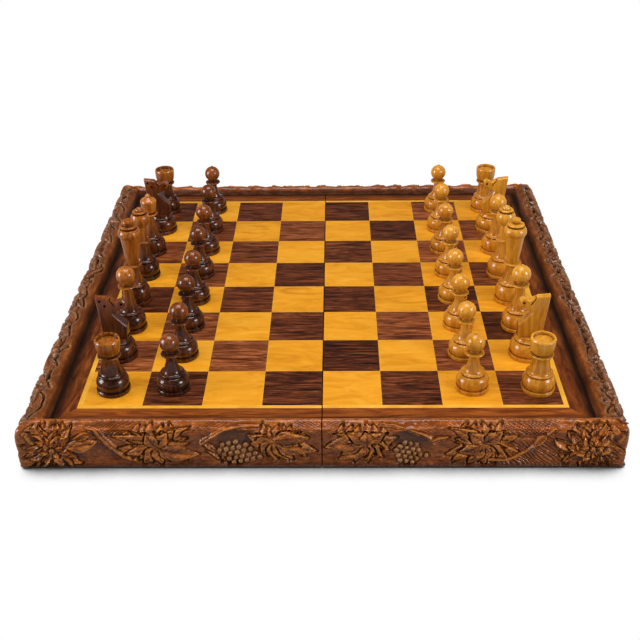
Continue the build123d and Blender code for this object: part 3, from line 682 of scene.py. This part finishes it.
def start_drawing(seed, corner_share):
    """The ground: cut back on the outer face and the outer half of the crest, uneven from the gouge.
    At the corners it is cut back by a share of its depth elsewhere."""
    drawing = Drawing(seed)
    s, t = drawing.grid_s, drawing.grid_t
    to_corner = drawing.to_corner[:, None]
    carved = 1 - ease(t, crest_t - 4.5, crest_t + 2.0)
    bottom_band = 1 - ease(t, 0.0, 2.0)
    # long and short waves that the gouge left
    uneven = 0.30 * np.sin(s * 0.21 + 1.3 * np.sin(t * 0.23)) * np.sin(t * 0.33 + s * 0.07)
    uneven += 0.12 * np.sin(s * 0.93 + 2.1 * np.sin(t * 0.41)) * np.sin(t * 1.1)
    depth = full_depth - 0.9 * ease(t, outer_face - 2, outer_face + 4)
    depth = depth * (corner_share + (1 - corner_share) * ease(to_corner, 3, 12))
    ground = -(depth + uneven) * carved * (1 - 0.45 * bottom_band * ease(to_corner, 5, 15))
    drawing.height = ground - drawing.lowered[:, None] * (1 - ease(t, crest_t - 2, crest_t + 5))
    return drawing


def top_at(drawing, s, t, level):
    """A motif's level, lower where the whole face is lowered and nearly flush at the crest."""
    lowered = float(np.interp(s, drawing.s, drawing.lowered))
    return level - lowered * (1 - float(ease(t, crest_t - 4, crest_t + 3)))


# each row of a bunch: where it starts, in grapes, and how many it has
bunch_rows = [(0, 3), (-1.15, 5), (-1.15, 5), (-1.15, 5), (-1.15, 5)]
small_bunch_rows = [(0, 3), (0, 4), (-1, 6), (1, 4), (2, 3)]


def draw_left():
    """The left half: S is the distance from the seam."""
    d = start_drawing(seed=3, corner_share=0.15)
    # top ground between the motifs, cut with fine slanting lines
    hatch(d, (116, 156), (23, 42), radians(142), 1.9, 0.9)
    hatch(d, (60, 100), (26, 40), radians(145), 1.6, 0.4)
    hatch(d, (0, 24), (22, 40), radians(35), 1.6, 0.5)
    # behind the grapes
    hollow(d, (56, 23), (17, 9), 0, top_at(d, 56, 20, -3.1))
    vine(d, [(157, 33.5), (154, 31), (151.5, 26), (150, 19)], 1.6, top_at(d, 150, 25, -1.4), leaf=0.3)
    hollow(d, (152.6, 29), (5.5, 1.8), radians(105), -3.8)
    vine(d, [(157, 34), (152, 31.5), (148, 24), (141, 14.6), (134.7, 8.8), (127.6, 5.4), (119, 3.8)],
         4.4, top_at(d, 140, 10, -0.7), split=True)
    # corner flower and the leaf beside it
    curled_points(d, [(193, 22), (187, 22), (180, 22), (175, 21), (198, 21)], 16, -0.2)
    flower(d, (183, 13))
    blade(d, (172, 17), (151.5, 20.5), 11, -0.1, bend=0.05, tilt=0.5)
    blade(d, (168, 22), (156, 27), 6, -0.4, "petal", tilt=-0.4)
    # first leaf
    curled_points(d, [(123, 23), (118, 23), (113, 23), (107, 23), (102, 23)], 16, -0.2)
    vine_leaf(d, (112, 15), [
        (88.5, 35.5, 9), (99, 31, 8), (129, 29, 8), (142, 24, 8), (138.5, 13.7, 8), (134, 8.5, 7),
        (122, 0.5, 8), (109, 0, 8), (94, 3, 8), (83, 8.5, 11), (104, 27, 8), (118, 27, 8),
    ], -0.35)
    # slender leaf under the arch
    for s, t in ((58, 2), (63, 1), (68, 2), (66, 6)):
        blade(d, (82, 20), (s, t), 3.6, top_at(d, s, t, -1.6), tilt=0.3, leaf=0.4)
    vine(d, [(81, 19), (76, 23), (68, 29.5), (60, 33.5), (52, 35.6), (41, 36)],
         3.4, top_at(d, 64, 30, -0.5), split=True)
    grapes(d, (67, 16.6), bunch_rows, (-4.4, 1.15), (-3.1, -3.5), top_at(d, 57, 11, -0.6))
    # second leaf
    curled_points(d, [(41, 23), (36, 23), (30, 23), (25, 23), (20, 23)], 15, -0.2)
    vine_leaf(d, (33, 20), [
        (14, 28, 9), (50, 25, 8), (48, 17, 8), (41, 9, 8), (31, 2.5, 9), (22, 3, 8), (10, 6, 9),
        (3, 11, 12), (8, 22, 9),
    ], -0.35)
    draw_end(d, crossing_pitch=(19, 28), rib_width=(9, 13))
    draw_back(d)
    return d


def draw_right():
    """The right half: S is the distance from the seam."""
    d = start_drawing(seed=11, corner_share=1.0)
    hatch(d, (112, 162), (-1, 20), radians(140), 2.0, 0.8)
    hatch(d, (118, 160), (20, 40), radians(140), 2.0, 0.6)
    hatch(d, (118, 160), (20, 40), radians(40), 2.0, 0.6)
    hatch(d, (62, 92), (26, 40), radians(145), 1.5, 0.45)
    hatch(d, (0, 14), (22, 40), radians(35), 1.5, 0.45)
    hollow(d, (58, 22), (15, 8), 0, top_at(d, 58, 20, -3.1))
    # third leaf
    curled_points(d, [(14, 23), (19, 23), (24, 23), (29, 23), (34, 23), (39, 23)], 15, -0.2)
    vine_leaf(d, (29.6, 18.5), [
        (8, 26, 9), (50.5, 22, 9), (45, 12, 8), (41, 5, 8), (31, 1.5, 8), (22, 2, 8), (11, 4, 9),
        (1.5, 14, 11), (16, 27, 8), (42, 27, 8), (29, 28, 7),
    ], -0.35)
    vine(d, [(40, 36), (48.4, 34.5), (56, 31), (62, 27.5), (69, 24.6), (76, 18)],
         3.0, top_at(d, 62, 28, -0.5), split=True)
    grapes(d, (63.4, 16), small_bunch_rows, (-4.1, 0.95), (1.4, -4.1), top_at(d, 58, 11, -0.6))
    blade(d, (73, 19), (85, 23), 5, top_at(d, 80, 21, -0.5), tilt=0.3)
    # fourth leaf
    curled_points(d, [(96, 23), (102, 23), (108, 23), (114, 23), (120, 23)], 16, -0.2)
    vine_leaf(d, (108.4, 18), [
        (83, 7.5, 8), (88, 1.5, 8), (131, 24, 8), (132.5, 9.7, 7), (126, 4, 7), (117, 0.5, 8),
        (109.8, -0.5, 9), (99, 0, 8), (92, 10, 9), (85, 33.5, 9), (98, 27, 8), (121, 29, 8),
    ], -0.35)
    vine(d, [(113, 4), (124.7, 3.8), (134, 8.8), (143, 16.3), (150, 24.5), (156, 32)],
         1.9, top_at(d, 135, 10, -0.7))
    blade(d, (142, 15.5), (149.5, 24.5), 5.5, top_at(d, 146, 20, -0.1), "petal")
    # corner flower
    curled_points(d, [(170, 22), (176, 22), (183, 22), (190, 22), (196, 22)], 16, -0.2)
    flower(d, (181.7, 13.8))
    draw_end(d, crossing_pitch=(11, 15), rib_width=(5, 7))
    draw_back(d)
    return d


def draw_end(d, crossing_pitch, rib_width):
    """An end rail: a wavy stem with leaves and grapes, and a braid of stems over the crest. The pitch
    of the crossings and the width of the ribs are each given by their least and most."""
    start, stop = front_corner + 24, back_corner - 24
    land_s = (front_corner + back_corner) / 2 + 8  # middle of the plain land round the hook
    vine(d, [(s, 15 + 6 * sin(2 * pi * (s - start) / 88)) for s in np.arange(start, stop, 11.0)],
         3.4, -2.0, split=True)
    count = 13
    for i in range(count):
        s = start + (i + 0.5) * (stop - start) / count
        if abs(s - land_s) < 24:
            continue
        if i % 3 == 1:
            grapes(d, (s + 8, 17), bunch_rows[:4], (-4.4, 0.6), (-1.2, -3.7), -1.2)
            continue
        angles = (200, 250, 300, 340, 40, 90, 140) if i % 2 else (160, 215, 265, 315, 10, 60, 110)
        spread_leaf(d, (s, 13), angles, (15, 13), 7.5, -0.3)
    # a braid of crossing stems and curled leaves over the outer half of the crest
    place = front_corner + 6
    crossing = 0
    while place < back_corner - 8:
        step = d.random.uniform(*crossing_pitch)
        hollow(d, (place + step * 0.5, 27), (0.34 * step, 3.2), radians(d.random.uniform(-30, 30)), -4.8)
        hollow(d, (place + step * 0.5, 35.5), (0.3 * step, 2.8), radians(d.random.uniform(-40, 40)), -4.4)
        ribs = [
            ((place, 22), (place + step * 1.15, crest_t + d.random.uniform(-3, 4))),
            ((place + step, 22), (place - step * 0.15, crest_t + d.random.uniform(-3, 4))),
        ]
        if crossing % 2:
            ribs.reverse()
        for level, (root, tip) in zip((-0.7, 0.1), ribs):
            side = d.random.choice([-1, 1])
            kind = d.random.choice(["rib", "petal", "leaf"])
            width = d.random.uniform(*rib_width)
            blade(d, root, tip, width, level, kind, bend=0.06 * side, tilt=0.3 * side, leaf=0.1)
        if crossing % 3 == 1:
            lean = d.random.choice([-1, 1])
            root = (place + step / 2 - 8 * lean, 24)
            tip = (place + step / 2 + 7 * lean, 33)
            blade(d, root, tip, 12, 0.2, bend=0.12 * lean, tilt=0.4 * lean, leaf=0.2)
        place += step
        crossing += 1
    # the end rails are darker over the ornament and the outer half of the crest, less on its inner side
    darker_band = ease(d.grid_t, crest_t - 17, crest_t - 8) * (1 - 0.7 * ease(d.grid_t, crest_t + 1, crest_t + 7))
    darker_band *= ease(d.grid_s, front_corner, front_corner + 8)
    darker_band *= 1 - ease(d.grid_s, back_corner - 8, back_corner)
    d.shade = np.maximum(d.shade, 0.85 * darker_band)
    # the plain land round the hook and its catch, a slot with round ends
    land_half, land_flat, land_round = 12, 0.5, 7.5
    s, t = np.abs(d.grid_s - land_s), np.abs(d.grid_t - screw_t)
    land = np.hypot(np.maximum(s - land_half, 0), np.maximum(t - land_flat, 0)) < land_round
    d.height[land] = 0.0
    d.leaf[land] = 0.2


def draw_back(d):
    """A back rail: leaves and grapes along it, with leaf points over the crest."""
    start, stop = back_corner + 40, whole_way
    curled_points(d, [(back_corner + x, 24) for x in (10, 16, 22, 28, 34)], 12, -0.3)
    flower(d, (back_corner + 22, 13))
    count = 5
    for i in range(count):
        s = start + (i + 0.5) * (stop - start) / count
        if i % 2:
            hollow(d, (s, 20), (15, 9), 0, top_at(d, s, 20, -3.1))
            grapes(d, (s + 9, 17), bunch_rows, (-4.4, 1.1), (-2.2, -3.5), top_at(d, s, 11, -0.6))
            continue
        angles = (150, 185, 220, 255, 290, 330, 10, 45, 80, 115)
        spread_leaf(d, (s, 16), angles, (19, 15), 8.5, -0.35)
    place = start
    while place < stop - 6:
        step = d.random.uniform(14, 24)
        lean = d.random.choice([-1, 1])
        hollow(d, (place + step * 0.1, 31), (4, 3), 0, -3.4)
        blade(d, (place - 2 * lean, outer_face - 1), (place + step / 2 + 5 * lean, crest_t - 1), 12,
              top_at(d, place, 34, 0.1), tilt=0.4 * lean, leaf=0.6)
        place += step
    # the crest rises and falls along the rail
    swell = 0.5 * np.sin(d.grid_s * 0.31 + 2 * np.sin(d.grid_s * 0.043)) - 0.5
    swell *= ease(d.grid_s, back_corner, back_corner + 10)
    d.height += 1.1 * swell * ease(d.grid_t, outer_face, crest_t)


def blurred(field, radius_rows, radius_columns):
    """The field, smoothed by that many cells each way."""
    for axis, radius in ((0, radius_rows), (1, radius_columns)):
        reach = int(3 * radius)
        weights = np.exp(-((np.arange(-reach, reach + 1) / radius) ** 2) / 2)
        weights /= weights.sum()
        padded = np.pad(field, [(reach, reach) if k == axis else (0, 0) for k in (0, 1)], mode="edge")
        field = np.apply_along_axis(lambda line: np.convolve(line, weights, "valid"), axis, padded)
    return field


def tool_marks(drawing):
    """The gouge's small facets, left all over the carving; smoother on the grapes and on the plain
    inner half of the crest."""
    depth = 0.16
    marks = blurred(np.random.default_rng(5).normal(size=drawing.height.shape), 2.6, 2.2)
    marks *= depth / marks.std()
    plain = ease(drawing.grid_t, crest_t - 3, crest_t + 3)
    drawing.height += marks * (1 - 0.8 * plain) * (1 - 0.9 * drawing.grape)
    drawing.height = np.minimum(drawing.height, 0.0)


def rail_mesh(name, drawing, span, mirror_x):
    """One rail's mesh between two places along the drawing."""
    first, last = np.searchsorted(drawing.s, span)
    s = drawing.s[first:last].copy()
    s[0], s[-1] = span
    s[-1] += seam_lap * (span[1] == whole_way)
    outside, inside = path(s)
    direction = outside - inside
    thickness = np.hypot(*direction.T)[:, None]
    direction = direction / thickness
    # the relief is cut along the section's own normals
    slope = np.gradient(skin * (nominal_thickness, 1), axis=0)
    slope /= np.hypot(*slope.T)[:, None]
    height = drawing.height[first:last]
    u = skin[None, :, 0] * thickness + height * slope[None, :, 1]
    z = skin[None, :, 1] - height * slope[None, :, 0]
    # the back of the section, with the panel's groove, and last the inner edge of the chamfer
    back_u = np.array([0, groove_depth, groove_depth, 0, 0]) / mm
    back_z = np.array([panel_high.z, panel_high.z, panel_low.z, panel_low.z, rim, rim]) / mm
    u = np.concatenate([u, np.tile(back_u, (len(s), 1)), thickness - foot_inset], 1)
    z = np.concatenate([z, np.tile(back_z, (len(s), 1))], 1)
    x = inside[:, None, 0] + u * direction[:, None, 0]
    y = inside[:, None, 1] + u * direction[:, None, 1]
    points = np.stack([-x if mirror_x else x, y, z], -1) * mm
    columns, rows = points.shape[:2]
    index = np.arange(columns * rows).reshape(columns, rows)
    this, following = index[:-1], index[1:]
    quads = np.stack([this, np.roll(this, -1, 1), np.roll(following, -1, 1), following], -1)
    faces = quads.reshape(-1, 4).tolist()
    faces += [index[0].tolist(), index[-1][::-1].tolist()]
    if not mirror_x:
        faces = [face[::-1] for face in faces]
    mesh = bpy.data.meshes.new(name)
    mesh.from_pydata(points.reshape(-1, 3).tolist(), [], faces)
    # painted shade darkens the cuts over the stained wood, and where the rails meet the board and the
    # table; raised edges take wear and a painted highlight
    sunk = np.clip((blurred(drawing.height, 5, 5) - drawing.height - 0.4) / 1.8, 0, 1)
    foot_shade = 0.85 * (1 - ease(skin_t, 0.2, 2.6)) + 0.9 * ease(skin_t, crest_t + 3, skin_length - 2)
    recess = np.maximum(sunk, foot_shade)
    edge = np.clip((drawing.height - blurred(drawing.height, 2, 2)) / 0.6, 0, 1)
    for label, values in zip(tone_names, (drawing.leaf, drawing.grape, drawing.shade, recess, edge)):
        tones = np.zeros((columns, rows), np.float32)
        tones[:, : len(skin_t)] = values[first:last]
        tones[:, -1] = label == "recess"  # painted shade on the bottom corner
        store = mesh.attributes.new(label, "FLOAT", "POINT")
        store.data.foreach_set("value", tones.ravel())
    lay = np.zeros((columns, rows, 3), np.float32)
    lay[..., 0] = s[:, None]
    lay[..., 1] = np.concatenate([skin_t, skin_length + 8 * np.arange(1, rows - len(skin_t) + 1)])
    store = mesh.attributes.new("lay", "FLOAT_VECTOR", "POINT")
    store.data.foreach_set("vector", (lay * mm).ravel())
    mesh.shade_smooth()
    mesh.set_sharp_from_angle(angle=radians(60))
    return mesh


def add_rail(name, drawing, span, mirror_x, body):
    """Puts a carved rail in the place of the plain one, on its half box."""
    mesh = rail_mesh(name, drawing, span, mirror_x)
    mesh.materials.append(finishes["carved_walnut"])
    made = bpy.data.objects.new(f"{name}_carved", mesh)
    bpy.context.scene.collection.objects.link(made)
    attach(made, body)
    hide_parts(name)


for half, drawing in (("left", draw_left()), ("right", draw_right())):
    tool_marks(drawing)
    spans = {
        "front_rail": (0, front_corner),
        "end_rail": (front_corner, back_corner),
        "back_rail": (back_corner, whole_way),
    }
    for rail_name, span in spans.items():
        add_rail(f"{half}_{rail_name}", drawing, span, mirror_x=half == "right", body=f"{half}_half")

# ---------------------------------------------------------------- studio
camera_place = Vector((0.00958, -0.72765, 0.44056))
camera_yaw = radians(-1.06)
camera_pitch = radians(31.49)
camera_roll = radians(-0.75)
forward = Vector((
    sin(camera_yaw) * cos(camera_pitch), cos(camera_yaw) * cos(camera_pitch), -sin(camera_pitch)
))
right = forward.cross(Vector((0, 0, 1))).normalized()
up = right.cross(forward)
rolled_right = cos(camera_roll) * right + sin(camera_roll) * up
rolled_up = -sin(camera_roll) * right + cos(camera_roll) * up
camera = bpy.data.objects.new("camera", bpy.data.cameras.new("camera"))
bpy.context.scene.collection.objects.link(camera)
camera.data.sensor_width = 36
camera.data.lens = 55.85
camera.matrix_world = Matrix.Translation(camera_place) @ Matrix(
    (rolled_right, rolled_up, -forward)
).transposed().to_4x4()
camera.data.clip_start = 0.01
camera.data.clip_end = 50
bpy.context.scene.camera = camera


def panel_light(name, place, target, width, height, power):
    """A soft box that faces its target."""
    lamp = bpy.data.lights.new(name, "AREA")
    lamp.shape = "RECTANGLE"
    lamp.size = width
    lamp.size_y = height
    lamp.energy = power
    made = bpy.data.objects.new(name, lamp)
    bpy.context.scene.collection.objects.link(made)
    aim = (Vector(target) - Vector(place)).to_track_quat("-Z", "Y").to_matrix().to_4x4()
    made.matrix_world = Matrix.Translation(place) @ aim


panel_light("overhead_softbox", (0, -0.04, 1.5), (0, 0, 0), 1.0, 0.8, 15.5)
panel_light("left_softbox", (-1.25, -0.3, 0.42), (0, 0, 0.03), 0.55, 0.6, 12)
panel_light("right_softbox", (1.15, -0.7, 0.6), (0, 0, 0.03), 0.5, 0.5, 10)

world = bpy.context.scene.world or bpy.data.worlds.new("studio")
bpy.context.scene.world = world
world.use_nodes = True
sky = world.node_tree
straight, glossy = ray_kinds(sky)
# a mirror-like surface sees the white backdrop low down and the dim studio above it
elevation = add_node(sky, "SeparateXYZ", (add_node(sky, "TexCoord", output="Generated"),), "Z")
mirrored = add_node(sky, "MapRange", (elevation, 0.05, 0.35, 0.45, 0.08))
fill = 0.28
on_object = add_node(sky, "Mix", {0: glossy, 2: fill, 3: mirrored})
strength = add_node(sky, "Mix", {0: straight, 2: on_object, 3: 1.0})
sky.nodes["Background"].inputs["Color"].default_value = linear("FFFFFF")
sky.links.new(strength, sky.nodes["Background"].inputs["Strength"])


def paper_floor():
    """White paper: a painted soft shadow, as a broad light from behind would leave, close in front of
    whatever stands on it, and plain white away from it."""
    shadow_reach = 26 * mm
    lean = radians(45)  # of that light, from straight above towards the back
    material, tree, shader = blank_material("white_paper")
    shader.inputs["Base Color"].default_value = linear("585858")
    shader.inputs["Roughness"].default_value = 0.9
    shader.inputs["Specular IOR Level"].default_value = 0.1
    to_light = add_node(tree, "CombineXYZ", {"Y": sin(lean), "Z": cos(lean)})
    reach = {"Distance": shadow_reach, "Normal": to_light}
    open_sky = add_node(tree, "AmbientOcclusion", reach, "AO", samples=16)
    near = add_node(tree, "MapRange", (open_sky, 0.32, 0.72, 1.0, 0.0))
    shadow = add_node(tree, "Math", (near, 2.0), operation="POWER")
    lit = add_node(tree, "Math", (1.0, shadow), operation="SUBTRACT")
    straight, glossy = ray_kinds(tree)
    white = add_node(tree, "Math", (glossy, 0.5, straight), operation="MULTIPLY_ADD")
    share = add_node(tree, "Math", (lit, white), operation="MULTIPLY")
    glow = add_node(tree, "Emission", {"Color": linear("FFFFFF"), "Strength": 1.0})
    mixed = add_node(tree, "MixShader", (share, shader.outputs[0], glow))
    tree.links.new(mixed, tree.nodes["Material Output"].inputs["Surface"])
    return material


floor_reach = 6.0
floor_mesh = bpy.data.meshes.new("floor")
floor_corners = [(x * floor_reach, y * floor_reach, 0) for x, y in ((-1, -1), (1, -1), (1, 1), (-1, 1))]
floor_mesh.from_pydata(floor_corners, [], [(0, 1, 2, 3)])
floor = bpy.data.objects.new("floor", floor_mesh)
bpy.context.scene.collection.objects.link(floor)
floor_mesh.materials.append(paper_floor())
bpy.context.scene.view_settings.view_transform = "Standard"
